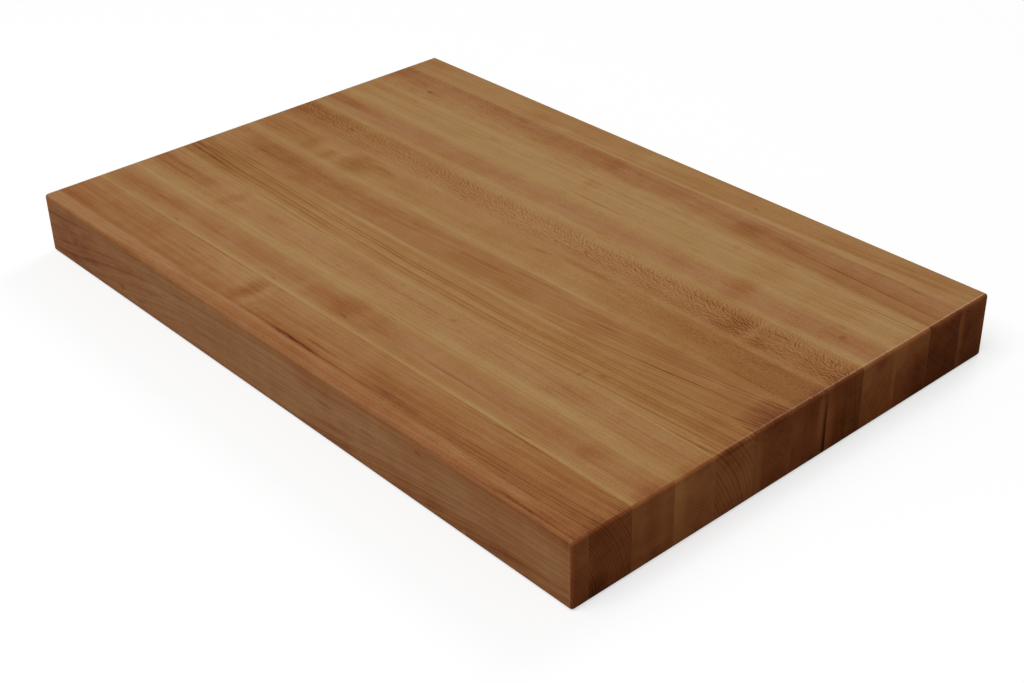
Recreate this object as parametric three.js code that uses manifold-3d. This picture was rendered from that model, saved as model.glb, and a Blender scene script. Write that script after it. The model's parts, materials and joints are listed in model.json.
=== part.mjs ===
// Edge-grain butcher block cutting board: full-length maple staves glued side by side.
// Millimetres, +Z up. +X runs along the staves and +Y across them, from the front edge to the back.
// The origin is the centre of the underside.

import * as THREE from "three";
import { RoundedBoxGeometry } from "three/addons/geometries/RoundedBoxGeometry.js";
import { mergeVertices } from "three/addons/utils/BufferGeometryUtils.js";
import Module from "manifold-3d";

const wasm = await Module();
wasm.setup();

// Driving dimensions
const BOARD_LENGTH = 457.2;
const BOARD_THICKNESS = 38.1;
const STAVE_WIDTH = 27;
const FULL_STAVES = 10;
const FRONT_STAVE_WIDTH = 9.7; // what ripping the glued panel to width leaves of the front stave
const BACK_STAVE_WIDTH = 24; // and of the back stave
const GLUE_LINE = 0.1;
const EDGE_RADIUS = 2; // every edge and corner is eased after the glue-up

// Facets in a quarter turn of an eased edge, half of them on each of the faces that it joins
const ROUND_STEPS = 6;

// Joint planes lie on a fine binary grid, so neighbouring layers meet face to face exactly
const GRID_STEPS_PER_MM = 1024;
const onGrid = (y) => Math.round(y * GRID_STEPS_PER_MM) / GRID_STEPS_PER_MM;

// Oiled maple, one tone for each stave from front to back, and the cured glue between them
const STAVE_TONES = [
  0xb5804d, 0xae7745, 0xb88250, 0xbd8a57, 0xb4804b, 0xac7546,
  0xb48253, 0xb07d51, 0xb98859, 0xc19560, 0xae784c, 0xbb8d5b,
];
const maple = (index) => new THREE.MeshStandardMaterial({
  color: STAVE_TONES[index % STAVE_TONES.length],
  roughness: 0.5,
  metalness: 0,
});
const glue = new THREE.MeshStandardMaterial({ color: 0x6b4526, roughness: 0.45, metalness: 0 });

// The layers of the glue-up, from front to back: a stave, then a film of glue, and so on
function glueUp() {
  const layers = [{ name: "front_edge_stave", width: FRONT_STAVE_WIDTH, material: maple(0) }];
  for (let index = 1; index <= FULL_STAVES + 1; index += 1) {
    const number = String(index).padStart(2, "0");
    const nextNumber = String(index + 1).padStart(2, "0");
    const isBack = index === FULL_STAVES + 1;
    layers.push({ name: `glue_line_${number}`, width: GLUE_LINE, material: glue });
    layers.push({
      name: isBack ? "back_edge_stave" : `stave_${nextNumber}`,
      width: isBack ? BACK_STAVE_WIDTH : STAVE_WIDTH,
      material: maple(index),
    });
  }
  return layers;
}

// A closed geometry as a solid that can be cut
function solidOf(geometry) {
  geometry.deleteAttribute("normal");
  geometry.deleteAttribute("uv");
  const merged = mergeVertices(geometry);
  return new wasm.Manifold(new wasm.Mesh({
    numProp: 3,
    vertProperties: new Float32Array(merged.attributes.position.array),
    triVerts: new Uint32Array(merged.index.array),
  }));
}

function geometryOf(solid) {
  const mesh = solid.getMesh();
  const geometry = new THREE.BufferGeometry();
  geometry.setAttribute("position", new THREE.BufferAttribute(mesh.vertProperties, 3));
  geometry.setIndex(new THREE.BufferAttribute(mesh.triVerts, 1));
  geometry.computeVertexNormals();
  return geometry;
}

// The share of the eased panel between two joint planes. An inner layer is cut through its two
// ends' easing only, and an edge stave also keeps the easing and the round corners of its outer side.
function layerOfPanel(panel, front, back) {
  const clearOfPanel = 2;
  const slab = new THREE.BoxGeometry(
    BOARD_LENGTH * clearOfPanel,
    back - front,
    BOARD_THICKNESS * clearOfPanel,
  );
  slab.translate(0, (front + back) / 2, 0);
  return geometryOf(panel.intersect(solidOf(slab)));
}

function cuttingBoard() {
  const layers = glueUp();
  const boardWidth = onGrid(layers.reduce((sum, layer) => sum + layer.width, 0));
  const panel = solidOf(
    new RoundedBoxGeometry(BOARD_LENGTH, boardWidth, BOARD_THICKNESS, ROUND_STEPS / 2, EDGE_RADIUS),
  );

  const board = new THREE.Group();
  board.position.z = BOARD_THICKNESS / 2;
  let laid = 0;
  for (const { name, width, material } of layers) {
    const front = onGrid(laid - boardWidth / 2);
    const back = onGrid(laid + width - boardWidth / 2);
    const middle = (front + back) / 2;
    const mesh = new THREE.Mesh(layerOfPanel(panel, front, back), material);
    mesh.geometry.translate(0, -middle, 0);
    mesh.position.y = middle;
    mesh.name = name;
    board.add(mesh);
    laid += width;
  }
  return board;
}

export default cuttingBoard();
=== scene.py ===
"""Edge-grain maple cutting board: stave meshes, solid wood materials, studio light and camera."""

import json
import math
from collections import namedtuple

import bmesh
import bpy
from mathutils import Matrix, Vector


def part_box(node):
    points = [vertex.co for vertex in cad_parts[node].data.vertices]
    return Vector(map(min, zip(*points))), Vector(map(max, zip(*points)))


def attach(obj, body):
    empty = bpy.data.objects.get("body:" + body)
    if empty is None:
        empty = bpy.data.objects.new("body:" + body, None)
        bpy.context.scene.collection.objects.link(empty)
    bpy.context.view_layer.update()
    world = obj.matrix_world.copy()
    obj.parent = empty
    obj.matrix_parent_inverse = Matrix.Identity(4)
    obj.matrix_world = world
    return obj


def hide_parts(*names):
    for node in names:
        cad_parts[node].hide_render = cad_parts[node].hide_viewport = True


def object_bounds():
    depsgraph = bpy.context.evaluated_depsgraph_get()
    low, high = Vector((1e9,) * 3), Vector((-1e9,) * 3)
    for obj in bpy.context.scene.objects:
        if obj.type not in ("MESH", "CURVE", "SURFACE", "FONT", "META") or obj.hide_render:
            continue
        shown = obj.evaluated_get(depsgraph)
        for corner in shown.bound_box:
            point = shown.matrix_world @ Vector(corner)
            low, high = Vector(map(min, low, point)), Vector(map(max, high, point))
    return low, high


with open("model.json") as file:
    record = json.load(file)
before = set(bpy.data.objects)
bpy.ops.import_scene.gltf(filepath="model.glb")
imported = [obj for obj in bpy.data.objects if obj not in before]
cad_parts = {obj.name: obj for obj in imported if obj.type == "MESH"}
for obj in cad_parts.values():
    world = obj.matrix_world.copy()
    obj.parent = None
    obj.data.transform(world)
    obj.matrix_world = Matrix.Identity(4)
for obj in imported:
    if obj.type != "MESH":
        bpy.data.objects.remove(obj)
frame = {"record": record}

CAD_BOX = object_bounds()
SLOT_OF = {part["node"]: part["material_slot"] for part in frame["record"]["subparts"]}

# Sizes of the board, in metres
MM = 0.001
BOARD_LOW, BOARD_HIGH = CAD_BOX
EASED_RADIUS = 2 * MM
EASED_STEPS = 8

# The same sizes in millimetres, which the wood is described in
HALF_LENGTH = (BOARD_HIGH.x - BOARD_LOW.x) / MM / 2
THICKNESS = (BOARD_HIGH.z - BOARD_LOW.z) / MM
HALF_THICKNESS = THICKNESS / 2

# Long waves of the grain up and down through a stave
SWELL_LENGTH = 250
SWELL_PHASE = math.tau * 0.52

# Camera of the photograph, in a frame of 1024 x 683 pixels
CAMERA_EYE = Vector((0.6308, -0.5381, 0.4866))
CAMERA_TARGET = Vector((0.0670, -0.0415, 0.0190))
CAMERA_ROLL_DEGREES = -1.257
CAMERA_LENS_MM = 58.70
SENSOR_WIDTH_MM = 36
CAMERA_CLIP_START = 0.01


def linear(red, green, blue):
    """A colour given in 0 to 255 as it looks on screen, as the linear colour that a node takes."""
    def channel(value):
        value /= 255
        return value / 12.92 if value <= 0.04045 else ((value + 0.055) / 1.055) ** 2.4
    return (channel(red), channel(green), channel(blue), 1)


# Oiled maple from its palest sapwood to ink-dark streaks: golden wood, rosy wood, and end grain.
# A tone of 1 stands 1 along these scales.
TONE_SPAN = 2.0
GOLDEN_TONES = [
    (0.00, linear(164, 129, 85)),
    (0.25, linear(159, 120, 76)),
    (0.50, linear(153, 111, 66)),
    (0.75, linear(146, 101, 56)),
    (1.00, linear(137, 90, 50)),
    (1.30, linear(119, 72, 40)),
    (1.70, linear(88, 49, 24)),
    (2.00, linear(57, 28, 10)),
]
ROSY_TONES = [
    (0.00, linear(165, 128, 91)),
    (0.25, linear(159, 118, 81)),
    (0.50, linear(153, 109, 72)),
    (0.75, linear(146, 96, 58)),
    (1.00, linear(137, 86, 51)),
    (1.30, linear(119, 69, 39)),
    (1.70, linear(88, 46, 22)),
    (2.00, linear(57, 26, 9)),
]
END_TONES = [
    (0.25, linear(168, 112, 64)),
    (0.50, linear(157, 102, 57)),
    (0.75, linear(147, 92, 52)),
    (1.00, linear(137, 82, 46)),
    (1.30, linear(120, 66, 35)),
    (1.70, linear(89, 44, 19)),
    (2.00, linear(57, 26, 9)),
]

# A mark is a soft oval of darker or paler wood. x runs along the stave and across runs over it, both
# from its middle in millimetres, and up is above its middle. Strength is in tones, tilt in degrees.
# Without a tilt or a height of its own a mark lies straight, in the top of the stave.
Mark = namedtuple("Mark", "x across half_length half_width strength tilt up half_height",
                  defaults=(0, HALF_THICKNESS, 14))

# Share of its half sizes where a mark has faded out, and where it is full
MARK_FADED, MARK_FULL = 1.4, 0.25

# Place of the front side across the front stave, and how deep marks on that side and on an end reach
FRONT_SIDE = -4.8
SIDE_MARK_DEPTH = 2.5
END_MARK_DEPTH = 5


def on_front(x, height, half_length, half_height, strength):
    """A mark on the front side of the front stave, at a height above the board's underside."""
    up = height - HALF_THICKNESS
    return Mark(x, FRONT_SIDE, half_length, SIDE_MARK_DEPTH, strength, 0, up, half_height)


def on_end(across, height, half_width, half_height, strength):
    """A mark on the right end of a stave, at a height above the board's underside."""
    up = height - HALF_THICKNESS
    return Mark(HALF_LENGTH, across, END_MARK_DEPTH, half_width, strength, 0, up, half_height)


class Stave:
    """The wood of one stave. Tones are on the scales above, lengths in millimetres, angles in degrees."""

    # Change of tone towards the left and the right end, and how much darker the top is just by the right
    # end
    left = right = 0
    right_end_darkening = 0.26
    # How rosy the wood is, and a rosier band: how much, and from where to where across the stave
    rosy = 0.2
    rosy_band = (0, -5, 5)
    # The pith of its tree lies pith_distance off the stave's middle. growth_angle is the way outward
    # from it, from +Y towards +Z. ring is the usual width of a year's ring.
    growth_angle = 30
    pith_distance = 100
    ring = 1.8
    # Strength of the dark lines between rings on the left, on the right and on the ends, the share of a
    # ring that such a line takes, and the strength of darker and paler groups of rings
    lines = (0.1, 0.1, 0.2)
    line_share = 0.55
    zones = 0.1
    # How the grain runs off the stave's length: across it, curving across it, up through its lower part,
    # in long waves up and down there, and wandering
    slope = bow = rise = swell = 0
    wander = 1.2
    # Strength of the rays on the left and on the right: as fine specks, and as a figure of longer flecks
    speckle = (0.12, 0.12)
    flecks = None
    # Strength of cloudy variation, and of streaks along the grain
    mottle = 0.1
    streaks = 0.2
    # Change of tone along the front and the back edge, and how far that reaches in
    front_edge = back_edge = (0, 4)
    # How much the finish shines
    gloss = 0.01
    # How much darker the end grain is down at the underside, as painted shade near the floor, and marks in
    # it
    end_painted_shade = 0.1
    end_marks = ()

    def __init__(self, tone, end_tone, marks, **others):
        self.tone = tone
        self.end_tone = end_tone
        self.marks = marks
        for name, value in others.items():
            setattr(self, name, value)


STAVES = {
    "front_edge_stave": Stave(
        0.62, 1.08, left=-0.12, right=0.04, gloss=0.008, rosy=0.95,
        growth_angle=34, pith_distance=80, ring=1.05, lines=(0.23, 0.28, 0.3), zones=0.26,
        slope=0.01, rise=0.1, swell=3.4, wander=2.0, streaks=0.25, speckle=(0.05, 0.08), end_painted_shade=0.3,
        marks=[
            Mark(-190, 0, 50, 7, -0.12),
            Mark(-106, 3, 30, 4, -0.24),
            Mark(50, -2, 150, 6, 0.09),
            Mark(-14, 3.6, 70, 1.2, -0.16),
            Mark(150, 2.6, 60, 1.4, -0.12),
            Mark(150, -4.4, 70, 3, 0.16, half_height=4),
            Mark(190, -2.2, 15, 1.4, 0.5),
            Mark(214, 1, 18, 5, 0.26),
            on_front(-190, 14, 75, 30, 0.2),
            on_front(40, 24, 180, 14, -0.08),
            on_front(-204, 19, 38, 28, 0.24),
            # painted shade along the bottom edge of the front side
            on_front(-60, 0.5, 190, 3, 0.42),
            on_front(-142, 19, 36, 8, 0.14),
            on_front(92, 21, 26, 14, -0.1),
            on_front(-138, 36, 44, 3, 0.2),
            on_front(-108, 6, 24, 4, 0.14),
            on_front(-208, 5, 20, 3, 0.22),
            on_front(-146, 8.5, 5, 1.2, 0.3),
            on_front(-128, 6, 4, 1.2, 0.3),
            on_front(-114, 17, 4, 0.8, 0.3),
            on_front(-97, 23, 2.5, 1.0, 0.25),
            on_front(-70, 15, 5, 0.8, 0.3),
            on_front(50, 22, 8, 0.9, 0.4),
            on_front(65, 18, 4, 0.9, 0.25),
            on_front(58, 11, 14, 2.2, 0.25),
            on_front(66, 4, 14, 4, 0.2),
            on_front(85, 22, 7, 1.0, 0.35),
            on_front(110, 34, 18, 1.6, 0.12),
            on_front(125, 31, 2, 1.4, 0.4),
            on_front(158, 3, 84, 9, 0.34),
            on_front(155, 1.5, 2, 2.5, -0.5),
            on_front(215, 18, 20, 9, -0.12),
            on_front(214, 36, 22, 3, 0.28),
        ]),
    "stave_02": Stave(
        0.59, 1.22, left=0.06, right=0.13, rosy=0.6,
        growth_angle=18, pith_distance=70, ring=1.5, lines=(0.16, 0.28, 0.26), zones=0.16,
        slope=0.02, bow=1e-4, streaks=0.22, speckle=(0.06, 0.07),
        front_edge=(0.16, 5), back_edge=(-0.14, 12),
        end_marks=[on_end(-8, 5, 9, 8, 0.36), on_end(-5, 33, 11, 8, 0.12)],
        marks=[
            Mark(-216, 13.3, 6, 0.8, 0.3),
            Mark(-215, 3.3, 12, 0.8, 0.2),
            Mark(-200, -1, 50, 5, 0.12),
            Mark(-144, -0.4, 12, 11, 0.12),
            Mark(-206, -9.6, 26, 3, 0.16),
            Mark(-126, 5, 30, 5, -0.16),
            Mark(-106, 3.3, 6, 0.7, 0.35),
            Mark(-98, 13.3, 40, 0.7, 0.5),
            Mark(-88, 7, 20, 7, -0.28),
            Mark(-64, 3, 13, 10, -0.32),
            Mark(-47.7, 0, 6, 18, 0.3),
            Mark(-38, 0, 3.6, 13, -0.22),
            Mark(2, -10.8, 40, 3.2, 0.26),
            Mark(8, -12.1, 48, 0.9, 0.42),
            Mark(12, -11.9, 17, 1.1, 0.36),
            Mark(28, -6.6, 18, 1.1, 0.46),
            Mark(-12, -8, 20, 1.2, 0.12),
            Mark(35, 13.3, 7, 0.6, 0.4),
            Mark(65, 13.4, 14, 0.5, 0.35),
            Mark(76, -4, 18, 9, 0.2),
            Mark(0, 9, 50, 4, -0.16),
            Mark(89, -8.6, 16, 2.4, 0.26),
            Mark(140, -11.2, 60, 0.9, 0.22, 1.5),
            Mark(135, -8.8, 55, 0.8, 0.2, 1.5),
            Mark(125, -1, 45, 6, 0.14),
            Mark(164, 12.6, 26, 0.6, 0.3),
            Mark(214, 12, 16, 0.6, 0.25),
        ]),
    "stave_03": Stave(
        0.42, 0.95, right=0.04, rosy=0.25, rosy_band=(0.5, -7, 6),
        growth_angle=12, pith_distance=90, ring=1.4, lines=(0.16, 0.36, 0.06), speckle=(0.07, 0.07),
        front_edge=(-0.38, 5), back_edge=(-0.34, 6), end_painted_shade=0.2,
        end_marks=[on_end(0, 24, 5, 28, 0.16), on_end(0, 10, 15, 3, -0.1)],
        marks=[
            Mark(-185, -1, 44, 7, 0.3),
            Mark(-175, -0.7, 13, 0.6, 0.2),
            Mark(-195, -12.6, 34, 2, 0.14),
            Mark(-122, -2, 14, 5, 0.18),
            Mark(-78, 1, 24, 7, 0.12),
            Mark(-144, -10.3, 2.8, 1.0, 0.35),
            Mark(5, 2.4, 13, 10, 0.32),
            Mark(27, 0, 12, 9, 0.24),
            Mark(-14, 0, 16, 7, 0.12),
            Mark(48, -1, 20, 6, 0.14),
            Mark(-51, 1, 22, 5, 0.12),
            Mark(10, -6.5, 3.2, 0.6, 0.4),
            Mark(-47.5, -10, 2.2, 0.6, 0.35),
            Mark(31, 10.6, 2.4, 0.6, 0.3),
            Mark(96, -2.8, 34, 0.5, 0.4),
            Mark(150, 0, 34, 7, 0.14),
            Mark(187, 1.2, 9, 9, 0.26),
            Mark(226, 1, 12, 10, 0.2),
            Mark(154, -11, 6, 0.7, 0.4),
        ]),
    "stave_04": Stave(
        0.27, 0.81, left=0.13, right=0.13, rosy=0.15, rosy_band=(0.35, -4, 9),
        growth_angle=55, pith_distance=90, ring=1.4, lines=(0.16, 0.24, 0.12),
        front_edge=(-0.2, 7), back_edge=(-0.24, 4), end_painted_shade=0.2,
        end_marks=[
            on_end(-11, 24, 5, 24, -0.3),
            on_end(-6, 33, 8, 8, -0.12),
            on_end(5, 16, 9, 24, 0.12),
            # painted shade: a darker band just under the top edge of the end
            on_end(3, 37, 11, 2.5, 0.14),
        ],
        marks=[
            Mark(-208, 2, 48, 7, 0.28),
            Mark(-212, 5.6, 44, 1.4, 0.16),
            Mark(-192, -1.4, 30, 1.4, 0.16),
            Mark(-172, 0, 7, 0.8, 0.2),
            Mark(-143, 1.5, 6, 11, 0.28, -14),
            Mark(-94, -9.6, 9, 1.6, 0.18),
            Mark(-104, 3, 18, 5, 0.1),
            Mark(-54, 7.9, 5, 0.9, 0.2),
            Mark(-15, 4, 5, 0.8, 0.2),
            Mark(21, 3.5, 28, 1.2, 0.22),
            Mark(36, 0.4, 18, 1.0, 0.22),
            Mark(54, 5, 2.4, 1.2, 0.42),
            Mark(64, 0, 2.4, 1.1, 0.34),
            Mark(-35, -3.2, 1.8, 0.7, 0.3),
            Mark(-42, -7, 2.2, 1, 0.18),
            Mark(7.5, 8.9, 2.2, 0.6, 0.3),
            Mark(125, 5, 40, 5, 0.1),
            Mark(136, -4, 8, 3, 0.2),
            Mark(176, 8, 3, 2, 0.18),
            Mark(201, 5.4, 22, 0.7, -0.14),
            Mark(151, -8.5, 70, 2.4, -0.14),
        ]),
    "stave_05": Stave(
        0.45, 0.94, left=0.2, right=0.24, right_end_darkening=0.12, rosy=0,
        growth_angle=25, pith_distance=109, ring=2.3, lines=(0.44, 0.4, 0.28), zones=0.24,
        bow=1.6e-4, wander=2.4, streaks=0.3, speckle=(0.06, 0.08),
        front_edge=(-0.3, 4), back_edge=(-0.45, 4),
        end_marks=[
            on_end(-2, 32, 9, 7, 0.16),
            on_end(9, 19, 5, 9, -0.16),
            on_end(0, 4, 8, 6, 0.14),
            # painted shade: a darker band just under the top edge of the end
            on_end(0, 37, 14, 2.5, 0.36),
        ],
        marks=[
            Mark(-155, 1, 60, 2.6, 0.26),
            Mark(216, -1, 18, 14, 0.3),
            Mark(-222, 3.4, 34, 1.6, 0.48),
            Mark(-214, -2.2, 54, 1.6, 0.5, -3),
            Mark(-210, -6.4, 50, 2.0, 0.48, -3),
            Mark(-166, -7.4, 28, 1, 0.3, -3),
            Mark(-226, 0, 14, 9, 0.12),
            Mark(136, -8.9, 0.8, 4, 0.34),
            Mark(143.7, -3, 3, 0.7, 0.5),
            Mark(110, 12.1, 3.4, 0.6, 0.5),
            Mark(220, -8.6, 12, 0.7, 0.34, 2),
            Mark(220, -13, 7, 0.6, 0.4),
        ]),
    "stave_06": Stave(
        0.57, 1.22, left=0.06, right=0.18, right_end_darkening=0.1, rosy=0.5,
        growth_angle=-43, pith_distance=100, ring=1.4, lines=(0.1, 0.4, 0.16), zones=0.12,
        slope=0.05, bow=2.2e-4, speckle=(0.14, 0.05), front_edge=(-0.14, 5), back_edge=(-0.26, 5),
        end_marks=[
            on_end(-11, 12, 4, 22, -0.3),
            on_end(4, 33, 12, 8, 0.16),
            on_end(2, 6, 9, 6, 0.2),
            # painted shade: a darker band just under the top edge of the end
            on_end(0, 37.5, 14, 3, 0.16),
        ],
        marks=[
            Mark(-222, -1, 18, 13, -0.1),
            Mark(-178, 2, 30, 8, 0.26),
            Mark(-181, -1.6, 14, 0.7, 0.25),
            Mark(-140, 3, 22, 7, 0.16),
            Mark(-112, 0.9, 9, 1.0, 0.3),
            Mark(-91, -1.5, 20, 6, 0.16),
            Mark(-118, 8.4, 3.4, 0.8, 0.25),
            Mark(-66, -2, 20, 8, 0.14),
            Mark(-62, 7.7, 7, 1.5, 0.14),
            Mark(16, -1, 22, 9, 0.2),
            Mark(54, 10.3, 24, 0.7, 0.34, 3),
            Mark(80, 0, 30, 10, -0.1),
            Mark(114, 2.8, 12, 0.9, 0.3, 5),
            Mark(155, -5.9, 48, 0.7, 0.34, 7),
            Mark(112, 12, 60, 3, -0.2),
            Mark(190, 12.6, 34, 2, -0.12),
            Mark(206, 0, 14, 9, 0.14),
            Mark(222, 1, 10, 20, 0.4),
            Mark(227, 2, 8, 18, 0.1),
        ]),
    "stave_07": Stave(
        0.36, 1.38, left=0.1, right=0.55, rosy=0.05, rosy_band=(0.15, -4, 18),
        growth_angle=80, pith_distance=70, ring=1.8, lines=(0.05, 0.06, 0.1),
        speckle=(0.1, 0.15), mottle=0.08, front_edge=(-0.26, 7), end_painted_shade=0.1,
        end_marks=[
            on_end(12.4, 12, 1.6, 20, 0.44),
            on_end(12.6, 2, 1.6, 9, 0.4),
            on_end(9, 23, 3, 15, -0.35),
            on_end(-10, 14, 6, 24, -0.14),
            on_end(0, 28, 6, 14, 0.12),
        ],
        marks=[
            Mark(-215, 5, 44, 6, 0.14),
            Mark(-203, 8.8, 30, 1, 0.2),
            Mark(-197, 4, 32, 1, 0.2),
            Mark(-203, 0.4, 28, 1.2, 0.2),
            Mark(-212, -3.7, 24, 1.2, 0.16),
            Mark(-175, 1.9, 6, 10, 0.18),
            Mark(-161, 1, 5, 10, -0.1),
            Mark(-154, -2.4, 4, 8, 0.18),
            Mark(-146, 4, 4, 8, -0.06),
            Mark(-129, 1.5, 13, 15, 0.4),
            Mark(-110, 6.3, 11, 5, 0.26),
            Mark(-91, 6, 24, 5, 0.14),
            Mark(-20, 8, 60, 5, 0.1),
            Mark(29, 6.9, 8, 1.6, 0.24, 12),
            Mark(61, 11, 20, 2.4, 0.44),
            Mark(115, 8, 46, 6, 0.24),
            Mark(200, 6, 40, 6, 0.22),
            Mark(190, 13, 36, 1.5, -0.24),
            Mark(-112, 6, 40, 9, 0.08),
            Mark(-75, -9, 30, 4, -0.14),
            Mark(195, -8.7, 24, 0.5, 0.35),
        ]),
    "stave_08": Stave(
        0.46, 1.4, left=0.26, right=0.3, gloss=0.006, rosy=0.4,
        growth_angle=5, pith_distance=200, ring=2.0, lines=(0.05, 0.05, 0.12),
        speckle=(0.04, 0.06), flecks=(0.22, 0.3), front_edge=(-0.18, 5), back_edge=(-0.2, 8), end_painted_shade=0.2,
        end_marks=[on_end(-12, 14, 4, 26, -0.3), on_end(0.5, 18, 2, 24, 0.1)],
        marks=[
            Mark(-222, 3, 14, 13, 0.26),
            Mark(-200, 2, 24, 9, 0.12),
            Mark(-110, -8.5, 100, 4.5, -0.12),
            Mark(-140, 10.5, 45, 4, 0.18),
            Mark(140, -6, 90, 5, 0.12),
            Mark(-172, 2.5, 3.4, 0.8, 0.4),
            Mark(-150, 1, 5, 0.9, 0.25),
            Mark(-50.6, -7.7, 3.4, 0.9, 0.3),
            Mark(49, -3, 3.4, 1.1, 0.3),
            Mark(156, -2, 12, 10, 0.28),
            Mark(175, -6.5, 4, 7, 0.16),
            Mark(168, 2, 2.4, 14, -0.18),
            Mark(133, 6.3, 13, 0.5, 0.34),
            Mark(181, 6.5, 6, 0.6, 0.4),
            Mark(214, -4, 16, 7, 0.1),
        ]),
    "stave_09": Stave(
        0.32, 1.05, left=0.06, right=0.08, right_end_darkening=0.1, gloss=0.005, rosy=0.2, rosy_band=(0.6, -8, 6.5),
        growth_angle=30, pith_distance=110, ring=1.8, lines=(0.06, 0.08, 0.1), streaks=0.14,
        front_edge=(-0.2, 8), back_edge=(-0.3, 9), end_painted_shade=0.2,
        end_marks=[
            on_end(1.5, 34, 5, 3, 0.2),
            on_end(-11, 31, 6, 9, -0.12),
            on_end(13, 24, 3, 22, -0.24),
        ],
        marks=[
            Mark(0, -1, 400, 7, 0.1),
            Mark(-205, 1.2, 36, 5.5, 0.26),
            Mark(-196, 2.2, 10, 2.2, 0.1),
            Mark(-173, 1.8, 7, 1, 0.14),
            Mark(21, 9, 2.8, 0.7, 0.35),
            Mark(0, -0.6, 4, 1.5, 0.18),
            Mark(134, 1.5, 10, 17, 0.24),
            Mark(197, 9.3, 3.4, 0.7, 0.4),
            Mark(203.3, 1.5, 2.6, 1.8, 0.5),
            Mark(105, 5, 7, 0.8, 0.25),
            Mark(215, 0, 18, 7, 0.12),
        ]),
    "stave_10": Stave(
        0.08, 1.04, left=0.1, right=0.12, gloss=0.005, rosy=0,
        growth_angle=140, pith_distance=120, ring=1.6, lines=(0.2, 0.4, 0.1), zones=0.15,
        mottle=0.07, streaks=0.26, speckle=(0.08, 0.08), front_edge=(-0.1, 4), end_painted_shade=0.35,
        end_marks=[
            on_end(8, 10, 14, 20, 0.3),
            on_end(-10, 30, 6, 9, -0.2),
            # painted light: a paler band just under the top edge of the end
            on_end(0, 37, 14, 3, -0.08),
        ],
        marks=[
            Mark(-140, 8.5, 75, 0.7, -0.14),
            Mark(-97, 3.4, 6, 1.6, 0.32),
            Mark(-112, -1, 14, 4, 0.12),
            Mark(-179, 5.3, 5, 1.2, 0.18),
            Mark(-204, 4, 18, 4, 0.14),
            Mark(-220, 2, 18, 10, 0.14),
            Mark(-45, 13, 9, 0.8, 0.2),
            Mark(-9, 3, 6, 8, 0.2),
            Mark(11, -11.2, 24, 1.3, 0.46),
            Mark(63, 9, 2.4, 2, 0.16),
            Mark(136, 12.2, 6, 0.7, 0.4),
            Mark(161, 10.7, 12, 0.7, 0.32, -2),
            Mark(89, -11.9, 8, 0.7, 0.35),
            Mark(103, 6.6, 2.4, 4, 0.2),
            Mark(133, 0, 12, 13, 0.18),
            Mark(180, 4, 48, 0.8, 0.18),
        ]),
    "stave_11": Stave(
        0.58, 1.5, left=0.08, right=0.06, right_end_darkening=0.06, gloss=0.007, rosy=0.4, rosy_band=(0.55, 0, 16),
        growth_angle=225, pith_distance=150, ring=1.1, lines=(0.06, 0.42, 0.3),
        slope=-0.03, bow=-0.5e-4, speckle=(0.18, 0.1), back_edge=(-0.14, 5), end_painted_shade=0.2,
        # painted light: a paler band just under the top edge of the end
        end_marks=[on_end(0, 37, 14, 3, -0.26)],
        marks=[
            Mark(-130, -9.5, 150, 9.5, -0.3),
            Mark(30, -12, 80, 7, -0.34),
            Mark(150, -14, 70, 4, -0.3),
            Mark(-222, 4, 28, 9, 0.14),
            Mark(-183, -4.6, 2.8, 1.9, 0.44),
            Mark(-179, -5, 9, 0.9, 0.25),
            Mark(-203, -2.2, 5, 0.8, 0.35),
            Mark(-141, 3.7, 3.4, 1.0, 0.35),
            Mark(-104.5, 9, 5, 4, 0.2),
            Mark(-103, 2, 9, 1.1, 0.2),
            Mark(-132, -5.5, 6, 0.9, 0.25),
            Mark(-108, -6, 13, 0.8, 0.2),
            Mark(-80, -4.8, 4, 0.7, 0.35),
            Mark(-17, 6, 9, 9, 0.22),
            Mark(-34, 5, 20, 7, 0.08),
            Mark(-24, -6, 3, 0.7, 0.4),
            Mark(-22, -9, 3.4, 0.7, 0.25),
            Mark(2.5, 6.4, 2.2, 1.1, 0.3),
            Mark(64, 5, 22, 10, -0.12),
            Mark(49, -1.2, 5, 1.1, 0.25),
            Mark(96, -0.5, 13, 9, 0.34),
            Mark(119, 1.5, 14, 2.8, 0.18),
            Mark(168, -1.4, 62, 0.7, 0.3, -2.5),
            Mark(202, 11.3, 5, 0.8, 0.4),
        ]),
    "back_edge_stave": Stave(
        0.34, 1.42, left=0.06, right=0.22, right_end_darkening=0.06, rosy=0.08,
        growth_angle=51, pith_distance=120, ring=1.2, lines=(0.14, 0.3, 0.14), zones=0.2,
        slope=0.02, bow=0.6e-4, speckle=(0.08, 0.08), front_edge=(-0.26, 6), end_painted_shade=0.25,
        end_marks=[
            on_end(-10.5, 20, 3, 24, -0.3),
            on_end(10, 18, 4, 26, -0.16),
            # painted light: a paler band just under the top edge of the end
            on_end(0, 37, 12, 3, -0.2),
        ],
        marks=[
            Mark(-215, 6, 44, 6, 0.12),
            Mark(-91, -1.2, 18, 6, 0.14),
            Mark(-66, -2.4, 16, 3.6, 0.2),
            Mark(42.5, -1.8, 36, 6, 0.18),
            Mark(151, -1.8, 28, 5, 0.16),
            Mark(80, -3, 2.4, 1.4, 0.3),
            Mark(206, -5, 24, 4, 0.2),
        ]),
}


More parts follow.
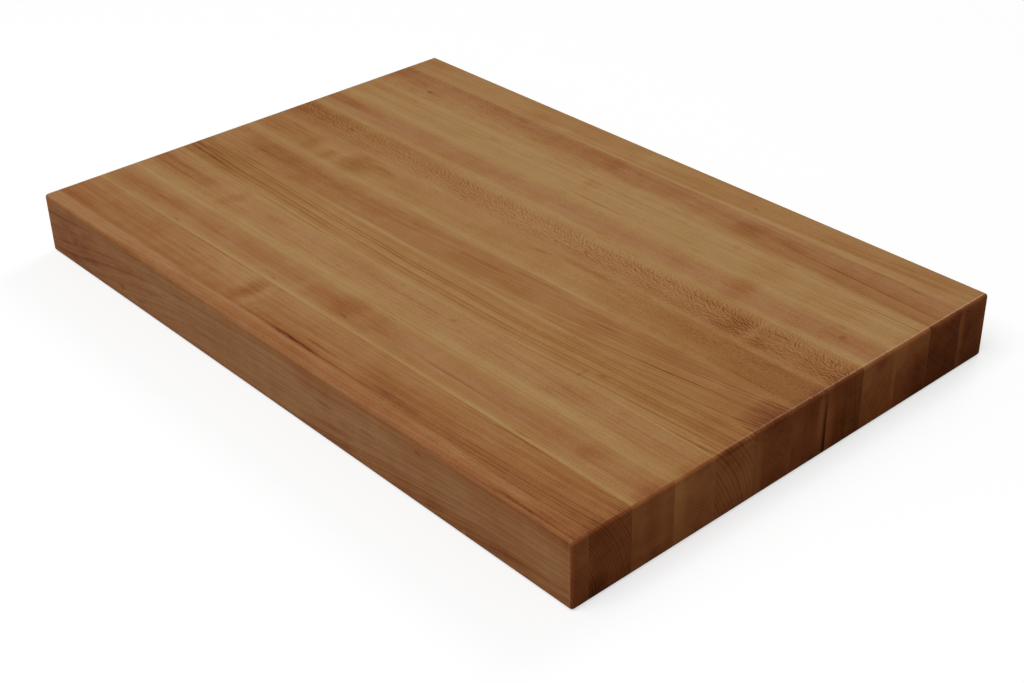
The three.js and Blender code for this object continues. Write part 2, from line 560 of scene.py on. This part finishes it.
class Wiring:
    """Adds nodes to a material or a world, with either sockets or plain values as their inputs."""

    def __init__(self, owner):
        self.owner = owner
        owner.use_nodes = True
        self.nodes = owner.node_tree.nodes
        self.links = owner.node_tree.links
        shader_name = "Background" if isinstance(owner, bpy.types.World) else "Principled BSDF"
        self.shader = self.nodes[shader_name]

    def feed(self, socket, value):
        if isinstance(value, bpy.types.NodeSocket):
            self.links.new(value, socket)
        else:
            socket.default_value = value

    def math(self, operation, *values):
        node = self.nodes.new("ShaderNodeMath")
        node.operation = operation
        for socket, value in zip(node.inputs, values):
            self.feed(socket, value)
        return node.outputs[0]

    def vector(self, operation, *values):
        node = self.nodes.new("ShaderNodeVectorMath")
        node.operation = operation
        for socket, value in zip(node.inputs, values):
            self.feed(socket, value)
        return node.outputs["Value" if operation == "LENGTH" else "Vector"]

    def split(self, vector):
        node = self.nodes.new("ShaderNodeSeparateXYZ")
        self.feed(node.inputs[0], vector)
        return node.outputs[0], node.outputs[1], node.outputs[2]

    def join(self, x, y, z):
        node = self.nodes.new("ShaderNodeCombineXYZ")
        for socket, value in zip(node.inputs, (x, y, z)):
            self.feed(socket, value)
        return node.outputs[0]

    def noise(self, place, size, detail=2, roughness=0.5, channel="Fac"):
        """Noise about 0.5, with features of the given size in millimetres along each axis."""
        node = self.nodes.new("ShaderNodeTexNoise")
        node.inputs["Scale"].default_value = 1
        node.inputs["Detail"].default_value = detail
        node.inputs["Roughness"].default_value = roughness
        self.links.new(self.vector("DIVIDE", place, size), node.inputs["Vector"])
        return node.outputs[channel]

    def line_noise(self, value, size, detail=1):
        """Noise about 0.5 that depends on one number only."""
        node = self.nodes.new("ShaderNodeTexNoise")
        node.noise_dimensions = "1D"
        node.inputs["Scale"].default_value = 1 / size
        node.inputs["Detail"].default_value = detail
        self.feed(node.inputs["W"], value)
        return node.outputs["Fac"]

    def dashes(self, place, length, spacing, facing, order):
        """Noise about 0.5 in short, evenly spaced dashes, at right angles to the way that they face.

        Length and spacing are in millimetres. With an order of 1 all dashes face that way exactly.
        """
        node = self.nodes.new("ShaderNodeTexGabor")
        node.gabor_type = "3D"
        node.inputs["Scale"].default_value = 1 / length
        node.inputs["Frequency"].default_value = length / spacing
        node.inputs["Anisotropy"].default_value = order
        self.links.new(place, node.inputs["Vector"])
        # Two inputs are called Orientation. This one is for 3-D.
        self.links.new(facing, node.inputs[5])
        return node.outputs["Value"]

    def smooth(self, value, start, end, low=0.0, high=1.0):
        """Eases from low to high as the value goes from start to end."""
        node = self.nodes.new("ShaderNodeMapRange")
        node.interpolation_type = "SMOOTHSTEP"
        self.feed(node.inputs["Value"], value)
        for name, setting in (("From Min", start), ("From Max", end), ("To Min", low), ("To Max", high)):
            self.feed(node.inputs[name], setting)
        return node.outputs["Result"]

    def total(self, *values):
        result = values[0]
        for value in values[1:]:
            result = self.math("ADD", result, value)
        return result

    def swing(self, noise, strength):
        """Noise about 0.5 as a change of tone about 0."""
        return self.math("MULTIPLY_ADD", noise, 2 * strength, -strength)

    def blend(self, share, first, second):
        """The first colour where the share is 0, and the second where it is 1."""
        node = self.nodes.new("ShaderNodeMix")
        node.data_type = "RGBA"
        self.feed(node.inputs["Factor"], share)
        # The mix node has inputs called A and B for each type of data. These are for colours.
        self.feed(node.inputs[6], first)
        self.feed(node.inputs[7], second)
        return node.outputs[2]

    def ramp(self, value, stops):
        """A colour from a scale of stops that lie from 0 to 1."""
        node = self.nodes.new("ShaderNodeValToRGB")
        elements = node.color_ramp.elements
        while len(elements) < len(stops):
            elements.new(1)
        for element, (position, colour) in zip(elements, stops):
            element.position = position
            element.color = colour
        self.feed(node.inputs["Fac"], value)
        return node.outputs["Color"]

    def tone_scale(self, tone, tones):
        stops = [(at / TONE_SPAN, colour) for at, colour in tones]
        return self.ramp(self.math("DIVIDE", tone, TONE_SPAN), stops)


# The wood of a stave as node sockets. Places are in millimetres from the stave's middle: where a point
# is, where it is in a tree of the stave's own, and both again with the grain made straight.
Wood = namedtuple("Wood", "place tree_place grain tree_grain rings fibre vessel cloud")

# Distance out from the pith and round it, the dark line that ends each ring, and how good the years are
Rings = namedtuple("Rings", "outward around late climate")

# How far apart the staves' trees stand along each axis, so that no two staves look alike
TREE_STEPS = (1700, 90, 130)

# Where a ring is darkest, as a share of its width
DARKEST = 0.85

# Where the strength on the left turns into that on the right, for ring lines and for rays
LINES_LEFT, LINES_RIGHT = -120, 120
RAYS_LEFT, RAYS_RIGHT = -200, 60

# How far from the middle the change of tone towards an end starts, and where it is complete
END_CHANGE_START, END_CHANGE_FULL = 60, 210

# The darker top by the right end: how far in from the right end and down from the top it starts and is
# full
END_DARK_START, END_DARK_FULL = 9, 1
END_DARK_DEEPEST, END_DARK_FULL_DEPTH = 7, 2

# Ray flecks: their length and spacing, and how well neighbours lie the same way
FLECK_LENGTH = 2.0
FLECK_SPACING = 1.85
FLECK_ORDER = 0.75
# Their angles to the grain in front and at the back, and where across the stave they turn
FLECK_ANGLES = (15, 88)
FLECK_TURN = (-4, 13)
# How far from the stave's middle line they start and end fading, and what is left of them there
FLECK_FADE = (5, 13)
FLECK_FADED = 0.45

# Strength of the features that all staves share, in tones
FIBRE_TONE = 0.22
VESSEL_TONE = 0.1
CURL_TONE = 0.1
END_RAY_TONE = 0.25
END_CLOUD_TONE = 0.26

# How far in from the left and the right end the eased edge turns to end grain, and where it all is.
# On the right the end-grain colour reaches further over the eased edge: end grain, and painted shade
# on that round.
LEFT_END_GRAIN = (0.9, 0.2)
RIGHT_END_GRAIN_AND_SHADE = (1.9, 0.78)

# The oiled finish. The rubbed edge starts and is complete so far in from an end.
FACE_ROUGHNESS = 0.36
END_ROUGHNESS = 0.7
UNEVEN_ROUGHNESS = 0.1
RUBBED_EDGE = (2.3, 1.7)
RUBBED_COAT = 0.3
RUBBED_ROUGHNESS = 0.19
RELIEF_STRENGTH = 0.25
RELIEF_HEIGHT = 0.1 * MM


def straight_grain(w, stave, place, tree_place):
    """The place in the stave as it would be if its grain ran straight along X."""
    x, _, z = w.split(place)
    run = w.math("MULTIPLY", w.math("MULTIPLY_ADD", x, stave.bow, stave.slope), x)
    wave = w.math("SINE", w.math("MULTIPLY_ADD", x, math.tau / SWELL_LENGTH, SWELL_PHASE))
    rise = w.math("MULTIPLY_ADD", x, stave.rise, w.math("MULTIPLY", wave, stave.swell))
    rise = w.math("MULTIPLY", rise, w.smooth(z, -HALF_THICKNESS, HALF_THICKNESS, 1.0, 0.25))
    waver = w.noise(tree_place, (110, 34, 34), detail=1, channel="Color")
    sway = w.vector("MULTIPLY_ADD", waver, (0, 2 * stave.wander, 2 * stave.wander),
                    (0, -stave.wander, -stave.wander))
    return w.vector("SUBTRACT", w.vector("SUBTRACT", place, w.join(0, run, rise)), sway)


def growth_rings(w, stave, grain):
    angle = math.radians(stave.growth_angle)
    pith = (0, stave.pith_distance * math.cos(angle), stave.pith_distance * math.sin(angle))
    from_pith = w.vector("MULTIPLY", w.vector("ADD", grain, pith), (0, 1, 1))
    outward = w.vector("LENGTH", from_pith)
    _, y, z = w.split(from_pith)
    around = w.math("MULTIPLY_ADD", y, -math.sin(angle), w.math("MULTIPLY", z, math.cos(angle)))
    uneven = w.line_noise(outward, 4 * stave.ring)
    year = w.math("FRACT", w.math("ADD", w.math("DIVIDE", outward, stave.ring), uneven))
    dark = w.math("MULTIPLY", w.smooth(year, DARKEST - stave.line_share, DARKEST),
                  w.smooth(year, 1.0, DARKEST))
    pale = w.math("MULTIPLY", w.smooth(year, 0.0, 0.1), w.smooth(year, 0.45, 0.1, 0, -0.4))
    climate = w.line_noise(outward, 1.5 * stave.ring)
    boldness = w.smooth(climate, 0.38, 0.62, 0.25, 1.0)
    return Rings(outward, around, w.math("MULTIPLY", w.math("ADD", dark, pale), boldness), climate)


def solid_wood(w, number, stave, middle):
    """What runs all through a stave, so that its top, sides and ends agree."""
    coordinates = w.nodes.new("ShaderNodeTexCoord").outputs["Object"]
    place = w.vector("MULTIPLY_ADD", coordinates, (1 / MM,) * 3, tuple(-middle / MM))
    own_tree = tuple(number * step for step in TREE_STEPS)
    tree_place = w.vector("ADD", place, own_tree)
    grain = straight_grain(w, stave, place, tree_place)
    tree_grain = w.vector("ADD", grain, own_tree)
    return Wood(
        place, tree_place, grain, tree_grain,
        rings=growth_rings(w, stave, grain),
        fibre=w.noise(tree_grain, (14, 0.6, 0.6), detail=3, roughness=0.6),
        vessel=w.smooth(w.noise(tree_grain, (3.5, 0.3, 0.3), detail=1), 0.6, 0.72),
        cloud=w.noise(tree_place, (38, 13, 13), detail=2),
    )


def mark_tone(w, place, mark):
    node = w.nodes.new("ShaderNodeMapping")
    node.vector_type = "TEXTURE"
    node.inputs["Location"].default_value = (mark.x, mark.across, mark.up)
    node.inputs["Rotation"].default_value = (0, 0, math.radians(mark.tilt))
    node.inputs["Scale"].default_value = (mark.half_length, mark.half_width, mark.half_height)
    w.links.new(place, node.inputs["Vector"])
    reach = w.vector("LENGTH", node.outputs["Vector"])
    return w.smooth(reach, MARK_FADED, MARK_FULL, 0, mark.strength)


def band(w, value, strength, low, high):
    """Strength between low and high, fading over a soft border."""
    border = 2.5
    rising = w.smooth(value, low - border, low + border)
    return w.math("MULTIPLY", rising, w.smooth(value, high + border, high - border, 0, strength))


def line_tone(w, stave, wood):
    """The dark lines between rings, as they fade in and out along the faces."""
    x, _, _ = w.split(wood.place)
    left, right, _ = stave.lines
    fading = w.smooth(w.noise(wood.tree_grain, (60, 7, 7)), 0.35, 0.65, 0.45, 1.0)
    strength = w.math("MULTIPLY", w.smooth(x, LINES_LEFT, LINES_RIGHT, left, right), fading)
    return w.math("MULTIPLY", wood.rings.late, strength)


def speck_tone(w, stave, wood):
    """Rays cut across, as fine specks about a tone of 0 that come and go in patches."""
    x, _, _ = w.split(wood.place)
    speck = w.noise(w.join(x, wood.rings.around, wood.rings.outward), (0.9, 0.8, 0.9), detail=1)
    patches = w.smooth(w.noise(wood.tree_place, (30, 9, 9)), 0.3, 0.7, 0.6, 1.2)
    strength = w.math("MULTIPLY", patches, w.smooth(x, RAYS_LEFT, RAYS_RIGHT, *stave.speckle))
    return w.math("MULTIPLY", w.smooth(speck, 0.38, 0.62, -1, 1), strength)


def fleck_tone(w, stave, wood):
    """Rays cut lengthwise, as flecks that lie along the grain in front and turn across it at the back."""
    x, y, _ = w.split(wood.place)
    turn = w.smooth(y, *FLECK_TURN, *map(math.radians, FLECK_ANGLES))
    facing = w.join(w.math("SINE", turn), w.math("COSINE", turn), 0)
    place = w.join(x, wood.rings.outward, wood.rings.around)
    fleck = w.dashes(place, FLECK_LENGTH, FLECK_SPACING, facing, FLECK_ORDER)
    patches = w.smooth(w.noise(wood.tree_place, (5, 2.5, 2.5)), 0.3, 0.7, 0.5, 1.4)
    fading = w.math("MULTIPLY", patches, w.smooth(w.math("ABSOLUTE", y), *FLECK_FADE, 1, FLECK_FADED))
    strength = w.math("MULTIPLY", fading, w.smooth(x, RAYS_LEFT, RAYS_RIGHT, *stave.flecks))
    return w.math("MULTIPLY", w.smooth(fleck, 0.41, 0.63, -0.8, 1.2), strength)


def figure_tone(w, stave, wood):
    """The listed marks, with a slightly ragged outline and a patchy inside."""
    ragged = w.noise(wood.tree_place, (9, 3, 6), detail=2, channel="Color")
    place = w.vector("ADD", wood.place, w.vector("MULTIPLY_ADD", ragged, (8, 1.6, 0), (-4, -0.8, 0)))
    patchy = w.smooth(w.noise(wood.tree_place, (16, 2.2, 8), detail=2), 0.3, 0.7, 0.75, 1.25)
    return w.math("MULTIPLY", patchy, w.total(*[mark_tone(w, place, mark) for mark in stave.marks]))


def edge_tone(w, stave, wood, half_width):
    """The change along the stave's front and back edge."""
    _, across, _ = w.split(wood.grain)
    front, front_reach = stave.front_edge
    back, back_reach = stave.back_edge
    return w.math("ADD", w.smooth(across, -half_width, front_reach - half_width, front, 0),
                  w.smooth(across, half_width, half_width - back_reach, back, 0))


def along_tone(w, stave, wood):
    """The change towards each end, and the darker top just by the right end."""
    x, _, z = w.split(wood.place)
    darker_by_end = w.math(
        "MULTIPLY", w.smooth(x, HALF_LENGTH - END_DARK_START, HALF_LENGTH - END_DARK_FULL, 0, stave.right_end_darkening),
        w.smooth(z, HALF_THICKNESS - END_DARK_DEEPEST, HALF_THICKNESS - END_DARK_FULL_DEPTH),
    )
    return w.total(
        darker_by_end, w.smooth(x, -END_CHANGE_START, -END_CHANGE_FULL, 0, stave.left),
        w.smooth(x, END_CHANGE_START, END_CHANGE_FULL, 0, stave.right),
    )


def face_colour(w, stave, wood, half_width):
    _, y, _ = w.split(wood.place)
    lines = line_tone(w, stave, wood)
    specks = speck_tone(w, stave, wood)
    if stave.flecks:
        specks = w.math("ADD", specks, fleck_tone(w, stave, wood))
    figure = figure_tone(w, stave, wood)
    edges = edge_tone(w, stave, wood, half_width)
    streak = w.noise(wood.tree_grain, (75, 2.6, 2.6), detail=3, roughness=0.6)
    curl = w.noise(wood.tree_place, (9, 40, 40), detail=1)
    tone = w.total(
        stave.tone, along_tone(w, stave, wood), edges, figure, lines, specks,
        w.swing(wood.rings.climate, stave.zones), w.swing(streak, stave.streaks),
        w.swing(wood.fibre, FIBRE_TONE), w.math("MULTIPLY", wood.vessel, VESSEL_TONE),
        w.swing(wood.cloud, 3 * stave.mottle), w.swing(curl, CURL_TONE),
    )
    rosiness = w.total(
        stave.rosy, band(w, y, *stave.rosy_band), edges, specks,
        w.math("MULTIPLY", figure, 0.3), w.math("MULTIPLY", lines, -0.5),
    )
    return w.blend(rosiness, w.tone_scale(tone, GOLDEN_TONES), w.tone_scale(tone, ROSY_TONES))


def end_colour(w, stave, wood):
    x, _, z = w.split(wood.place)
    _, _, lines = stave.lines
    rays = w.noise(w.join(x, wood.rings.around, wood.rings.outward), (6, 0.7, 12), detail=2)
    tone = w.total(
        # painted shade: the end grain darker down towards the underside, by the floor
        stave.end_tone, w.smooth(z, HALF_THICKNESS, -HALF_THICKNESS, 0, stave.end_painted_shade),
        w.math("MULTIPLY", wood.rings.late, lines), w.swing(rays, END_RAY_TONE),
        w.swing(wood.cloud, END_CLOUD_TONE),
        *[mark_tone(w, wood.place, mark) for mark in stave.end_marks],
    )
    return w.tone_scale(tone, END_TONES)


def end_share(w, wood):
    """1 on end grain and 0 on the faces. It takes more of the eased edge on the right, partly as painted
    shade, than on the left.
    """
    x, _, _ = w.split(wood.place)
    left_start, left_full = LEFT_END_GRAIN
    right_start, right_full = RIGHT_END_GRAIN_AND_SHADE
    left = w.smooth(x, left_start - HALF_LENGTH, left_full - HALF_LENGTH)
    return w.math("MAXIMUM", left, w.smooth(x, HALF_LENGTH - right_start, HALF_LENGTH - right_full))


def oiled_finish(w, stave, wood, end):
    """Gloss and fine relief. The eased edge beside an end is rubbed to a thin shine."""
    x, _, _ = w.split(wood.place)
    start, full = RUBBED_EDGE
    near_end = w.smooth(w.math("ABSOLUTE", x), HALF_LENGTH - start, HALF_LENGTH - full)
    shine = w.math("MULTIPLY", near_end, w.smooth(end, 0, 1, RUBBED_COAT, 0))
    roughness = w.math("ADD", w.smooth(end, 0, 1, FACE_ROUGHNESS, END_ROUGHNESS),
                       w.swing(wood.fibre, UNEVEN_ROUGHNESS))
    relief = w.total(
        w.math("MULTIPLY", wood.fibre, 0.5), w.math("MULTIPLY", wood.rings.late, -0.3),
        w.math("MULTIPLY", wood.vessel, -0.5),
    )
    bump = w.nodes.new("ShaderNodeBump")
    bump.inputs["Strength"].default_value = RELIEF_STRENGTH
    bump.inputs["Distance"].default_value = RELIEF_HEIGHT
    w.links.new(relief, bump.inputs["Height"])
    w.links.new(bump.outputs["Normal"], w.shader.inputs["Normal"])
    w.links.new(roughness, w.shader.inputs["Roughness"])
    w.shader.inputs["Specular IOR Level"].default_value = stave.gloss
    w.links.new(shine, w.shader.inputs["Coat Weight"])
    w.shader.inputs["Coat Roughness"].default_value = RUBBED_ROUGHNESS


def maple(name, number, stave, middle, half_width):
    """Solid oiled maple, with end grain where the stave's fibres are cut across."""
    w = Wiring(bpy.data.materials.new(name))
    wood = solid_wood(w, number, stave, middle)
    end = end_share(w, wood)
    colour = w.blend(end, face_colour(w, stave, wood, half_width), end_colour(w, stave, wood))
    w.links.new(colour, w.shader.inputs["Base Color"])
    oiled_finish(w, stave, wood, end)
    return w.owner


def cured_glue():
    """A thin glue line, darker where the joint is starved and paler where it is tight."""
    w = Wiring(bpy.data.materials.new("cured_glue"))
    coordinates = w.nodes.new("ShaderNodeTexCoord").outputs["Object"]
    place = w.vector("MULTIPLY", coordinates, (1 / MM,) * 3)
    tightness = w.noise(place, (30, 5, 12), detail=2)
    stops = [(0.35, linear(116, 74, 42)), (0.65, linear(146, 101, 62))]
    w.links.new(w.ramp(tightness, stops), w.shader.inputs["Base Color"])
    w.shader.inputs["Roughness"].default_value = 0.5
    w.shader.inputs["Specular IOR Level"].default_value = 0.06
    return w.owner


# Faces that meet at less than this angle shade as one
SMOOTH_DEGREES = 40

# The map that the finish is baked through: rows of the bar's faces with a gap between them
MAP_PIXELS = 1024
ROW_GAP = 8
HIDDEN_ROW = 14
LEAST_ROW = 10


def is_open(normal, eased_sides):
    """Whether a face of the bar shows on the board. Its long sides are glued unless they are eased."""
    return abs(normal.y) < 0.5 or round(normal.y) in eased_sides


def bake_rows(low, high, eased_sides):
    """Where each side of the bar lies on the map: its row's bottom and height, from 0 to 1."""
    width = (high.y - low.y) / MM
    wide = [("top", width), ("bottom", width)]
    wide += [("front" if side < 0 else "back", THICKNESS) for side in eased_sides]
    hidden = [name for name, side in (("front", -1), ("back", 1)) if side not in eased_sides]
    open_rows = [(name, half, height) for name, height in wide for half in (0, 1)]
    open_rows.append(("end", 0, width))
    spare = MAP_PIXELS - ROW_GAP * (len(open_rows) + len(hidden) + 1) - HIDDEN_ROW * len(hidden)
    per_mm = spare / sum(height for _, _, height in open_rows)
    rows = {}
    bottom = ROW_GAP
    for name, half, height in open_rows:
        tall = max(height * per_mm, LEAST_ROW)
        rows[name, half] = (bottom / MAP_PIXELS, tall / MAP_PIXELS)
        bottom += tall + ROW_GAP
    for name in hidden:
        rows[name, 0] = rows[name, 1] = (bottom / MAP_PIXELS, HIDDEN_ROW / MAP_PIXELS)
        bottom += HIDDEN_ROW + ROW_GAP
    return rows, hidden


def lay_bake_map(mesh, low, high, eased_sides):
    """Spreads the bar over the map. Its long faces take two rows each, to be as sharp both ways."""
    layer = mesh.loops.layers.uv.new("OFBake")
    rows, hidden = bake_rows(low, high, eased_sides)
    size = high - low
    margin = ROW_GAP / MAP_PIXELS
    span = 1 - 2 * margin
    end_span = span * size.z / size.x * 2
    for face in mesh.faces:
        normal = face.normal
        half = 1 if face.calc_center_median().x > 0 else 0
        axis = max(range(3), key=lambda i: abs(normal[i]))
        names = (("end", "end"), ("front", "back"), ("bottom", "top"))[axis]
        name = names[1 if normal[axis] > 0 else 0]
        bottom, tall = rows[name, 0 if name == "end" else half]
        for loop in face.loops:
            along, across, up = ((loop.vert.co[i] - low[i]) / size[i] for i in range(3))
            if name == "end":
                u = margin + half * span / 2 + up * end_span
                v = across
            elif name in hidden:
                u = margin + along * span
                v = up
            else:
                u = margin + (along * 2 - half) * span
                v = across if axis == 2 else up
            loop[layer].uv = (u, bottom + v * tall)


def eased_bar(name, low, high, eased_sides):
    """A bar as long and thick as the board, with every edge eased that shows on the finished board."""
    mesh = bmesh.new()
    bmesh.ops.create_cube(mesh, size=1)
    for vertex in mesh.verts:
        vertex.co = [low[i] + (vertex.co[i] + 0.5) * (high[i] - low[i]) for i in range(3)]
    mesh.normal_update()
    shown = [edge for edge in mesh.edges if all(is_open(f.normal, eased_sides) for f in edge.link_faces)]
    bmesh.ops.bevel(mesh, geom=shown, offset=EASED_RADIUS, segments=EASED_STEPS, profile=0.5,
                    affect="EDGES", clamp_overlap=False)
    bmesh.ops.bisect_plane(mesh, geom=mesh.verts[:] + mesh.edges[:] + mesh.faces[:],
                           plane_co=(0, 0, 0), plane_no=(1, 0, 0))
    mesh.normal_update()
    for face in mesh.faces:
        face.smooth = True
    for edge in mesh.edges:
        edge.smooth = edge.calc_face_angle(0) < math.radians(SMOOTH_DEGREES)
    lay_bake_map(mesh, low, high, eased_sides)
    data = bpy.data.meshes.new(name)
    mesh.to_mesh(data)
    mesh.free()
    bar = bpy.data.objects.new(name, data)
    bpy.context.scene.collection.objects.link(bar)
    even = bar.modifiers.new("even shading", "WEIGHTED_NORMAL")
    even.keep_sharp = True
    return bar


def dress(node, piece_name, material):
    """A bar with a finish, in the place of the frame's node."""
    low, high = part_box(node)
    eased_sides = []
    if node == "front_edge_stave":
        eased_sides.append(-1)
    if node == "back_edge_stave":
        eased_sides.append(1)
    bar = eased_bar(piece_name, low, high, eased_sides)
    bar.data.materials.append(material)
    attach(bar, "root")
    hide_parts(node)


def make_board():
    for number, (node, stave) in enumerate(STAVES.items(), start=1):
        low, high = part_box(node)
        half_width = (high.y - low.y) / MM / 2
        wood = maple(f"maple_{number:02d}", number, stave, (low + high) / 2, half_width)
        dress(node, f"{node}_wood", wood)
    glue = cured_glue()
    for node in SLOT_OF:
        if SLOT_OF[node] == "glue":
            dress(node, f"{node}_film", glue)


# The studio, in metres and watts
Softbox = namedtuple("Softbox", "name place size power")
SOFTBOXES = [
    Softbox("key", Vector((0.1, -1.5, 2.8)), 2.0, 74),
    Softbox("rim", Vector((-0.65, 2.4, 1.8)), 1.3, 24),
]
SOFTBOX_TARGET = Vector((0, 0, 0))
FLOOR_HALF_SIZE = 4
FLOOR_DROP = 0.3 * MM
FLOOR_BOUNCE = 0.5
FLOOR_SHOWN = 0.4
FLOOR_GLOW = 0.62
AMBIENT = 0.25
BACKDROP_TOP = 0.2


def seen_directly(w):
    """1 on rays that show the surroundings, straight or mirrored, and 0 on those that carry light."""
    path = w.nodes.new("ShaderNodeLightPath")
    mirrored = w.math("MAXIMUM", path.outputs["Is Glossy Ray"], path.outputs["Is Transmission Ray"])
    return w.math("MAXIMUM", path.outputs["Is Camera Ray"], mirrored)


def make_floor():
    data = bpy.data.meshes.new("floor")
    size = FLOOR_HALF_SIZE
    corners = [(-size, -size, 0), (size, -size, 0), (size, size, 0), (-size, size, 0)]
    data.from_pydata(corners, [], [(0, 1, 2, 3)])
    floor = bpy.data.objects.new("floor", data)
    floor.location.z = BOARD_LOW.z - FLOOR_DROP
    bpy.context.scene.collection.objects.link(floor)
    w = Wiring(bpy.data.materials.new("pale_floor"))
    seen = seen_directly(w)
    w.links.new(w.smooth(seen, 0, 1, FLOOR_BOUNCE, FLOOR_SHOWN), w.shader.inputs["Base Color"])
    w.links.new(w.smooth(seen, 0, 1, 0, FLOOR_GLOW), w.shader.inputs["Emission Strength"])
    w.shader.inputs["Emission Color"].default_value = (1, 1, 1, 1)
    w.shader.inputs["Roughness"].default_value = 0.9
    w.shader.inputs["Specular IOR Level"].default_value = 0
    floor.data.materials.append(w.owner)


def make_world():
    """A white backdrop round the horizon where it is seen or mirrored, else a quiet even light."""
    world = bpy.data.worlds.new("studio")
    bpy.context.scene.world = world
    w = Wiring(world)
    w.shader.inputs["Color"].default_value = (1, 1, 1, 1)
    _, _, height = w.split(w.nodes.new("ShaderNodeTexCoord").outputs["Generated"])
    backdrop = w.smooth(height, BACKDROP_TOP, 2 * BACKDROP_TOP, 1, AMBIENT)
    w.links.new(w.smooth(seen_directly(w), 0, 1, AMBIENT, backdrop), w.shader.inputs["Strength"])


def add_softbox(softbox):
    light = bpy.data.lights.new(softbox.name, "AREA")
    light.shape = "SQUARE"
    light.size = softbox.size
    light.energy = softbox.power
    lamp = bpy.data.objects.new(softbox.name, light)
    lamp.location = softbox.place
    lamp.rotation_euler = (SOFTBOX_TARGET - softbox.place).to_track_quat("-Z", "Y").to_euler()
    bpy.context.scene.collection.objects.link(lamp)


def make_camera():
    data = bpy.data.cameras.new("photo_camera")
    data.sensor_fit = "HORIZONTAL"
    data.sensor_width = SENSOR_WIDTH_MM
    data.lens = CAMERA_LENS_MM
    data.clip_start = CAMERA_CLIP_START
    camera = bpy.data.objects.new("photo_camera", data)
    aim = (CAMERA_TARGET - CAMERA_EYE).to_track_quat("-Z", "Y").to_matrix().to_4x4()
    roll = Matrix.Rotation(math.radians(CAMERA_ROLL_DEGREES), 4, "Z")
    camera.matrix_world = Matrix.Translation(CAMERA_EYE) @ aim @ roll
    bpy.context.scene.collection.objects.link(camera)
    bpy.context.scene.camera = camera


make_camera()
make_board()
make_floor()
make_world()
for softbox in SOFTBOXES:
    add_softbox(softbox)
bpy.context.scene.view_settings.view_transform = "Standard"
